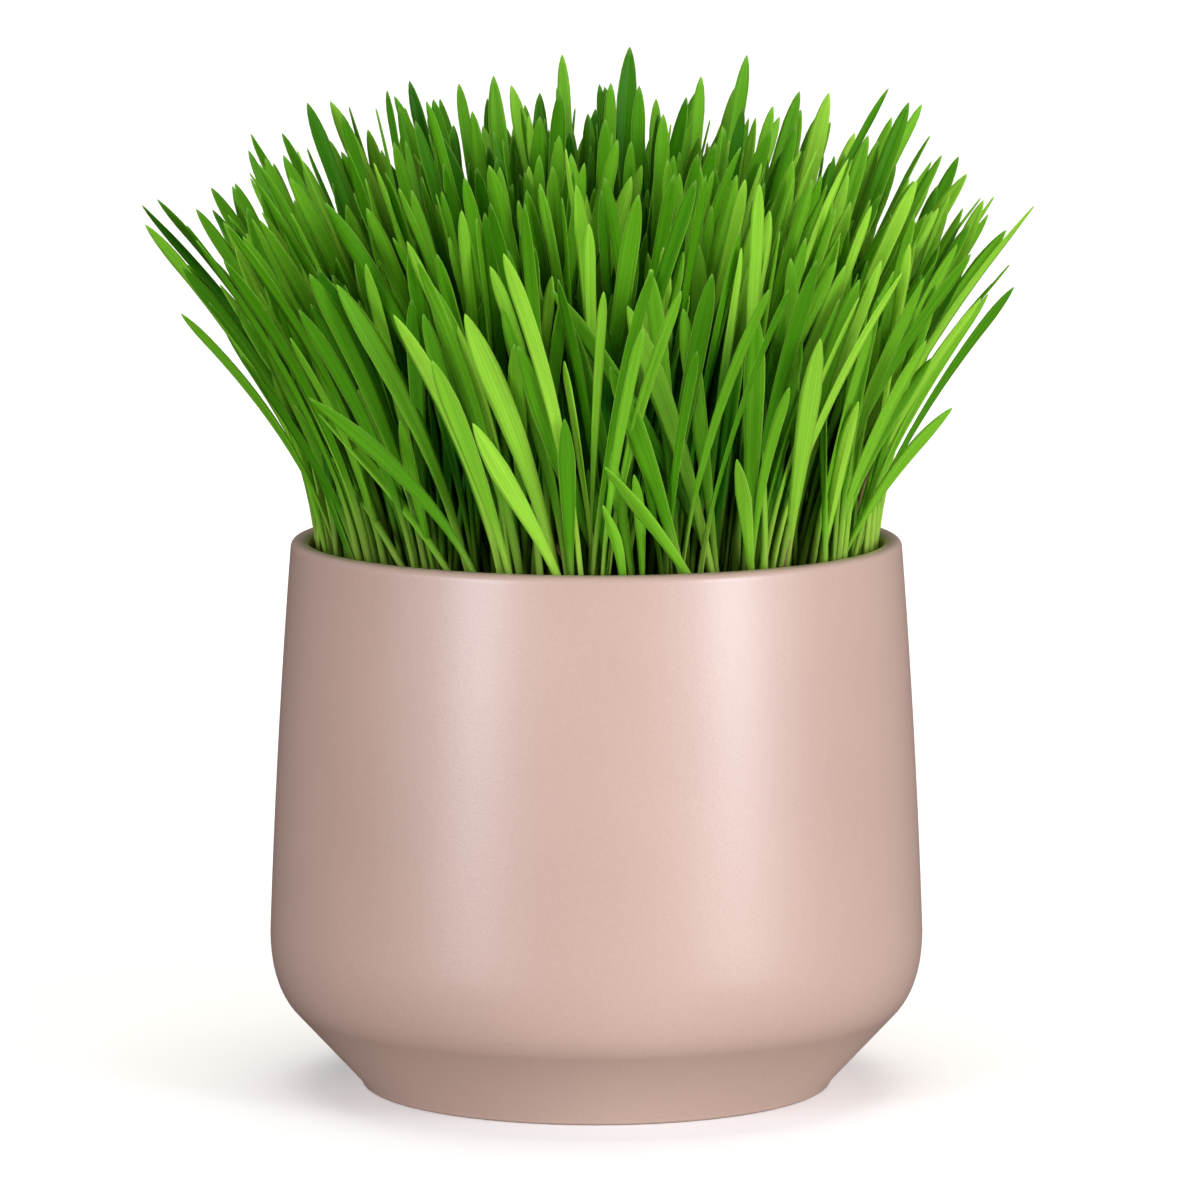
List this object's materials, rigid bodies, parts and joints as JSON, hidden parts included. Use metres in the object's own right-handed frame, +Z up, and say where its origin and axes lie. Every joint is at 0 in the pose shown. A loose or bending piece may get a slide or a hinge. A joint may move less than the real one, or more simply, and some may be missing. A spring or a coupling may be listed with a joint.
{
  "type": "potted cat grass",
  "caption": "Cat grass growing in a round glazed ceramic pot with a tapered foot, a living tabletop planter for cats to graze on.",
  "frame": {"origin": "centre of the pot's flat foot, on the surface it stands on", "axes": "+Z up along the pot's axis, -Y towards the viewer of the picture, +X to that viewer's right"},
  "size_m": [0.2041, 0.1992, 0.24],
  "materials": {
    "pot_glaze": "satin",
    "potting_soil": "matte",
    "grass_leaf": "satin"
  },
  "bodies": {
    "root": {"pot": "pot_glaze", "soil": "potting_soil", "grass_tuft_01": "grass_leaf", "grass_tuft_02": "grass_leaf", "grass_tuft_03": "grass_leaf", "grass_tuft_04": "grass_leaf", "grass_tuft_05": "grass_leaf", "grass_tuft_06": "grass_leaf", "grass_tuft_07": "grass_leaf", "grass_tuft_08": "grass_leaf", "grass_tuft_09": "grass_leaf", "grass_tuft_10": "grass_leaf", "grass_tuft_11": "grass_leaf", "grass_tuft_12": "grass_leaf", "grass_tuft_13": "grass_leaf", "grass_tuft_14": "grass_leaf", "grass_tuft_15": "grass_leaf", "grass_tuft_16": "grass_leaf", "grass_tuft_17": "grass_leaf", "grass_tuft_18": "grass_leaf", "grass_tuft_19": "grass_leaf", "grass_tuft_20": "grass_leaf", "grass_tuft_21": "grass_leaf", "grass_tuft_22": "grass_leaf", "grass_tuft_23": "grass_leaf", "grass_tuft_24": "grass_leaf", "grass_tuft_25": "grass_leaf", "grass_tuft_26": "grass_leaf", "grass_tuft_27": "grass_leaf", "grass_tuft_28": "grass_leaf", "grass_tuft_29": "grass_leaf", "grass_tuft_30": "grass_leaf", "grass_tuft_31": "grass_leaf", "grass_tuft_32": "grass_leaf", "grass_tuft_33": "grass_leaf", "grass_tuft_34": "grass_leaf", "grass_tuft_35": "grass_leaf", "grass_tuft_36": "grass_leaf", "grass_tuft_37": "grass_leaf"}
  },
  "joints": []
}
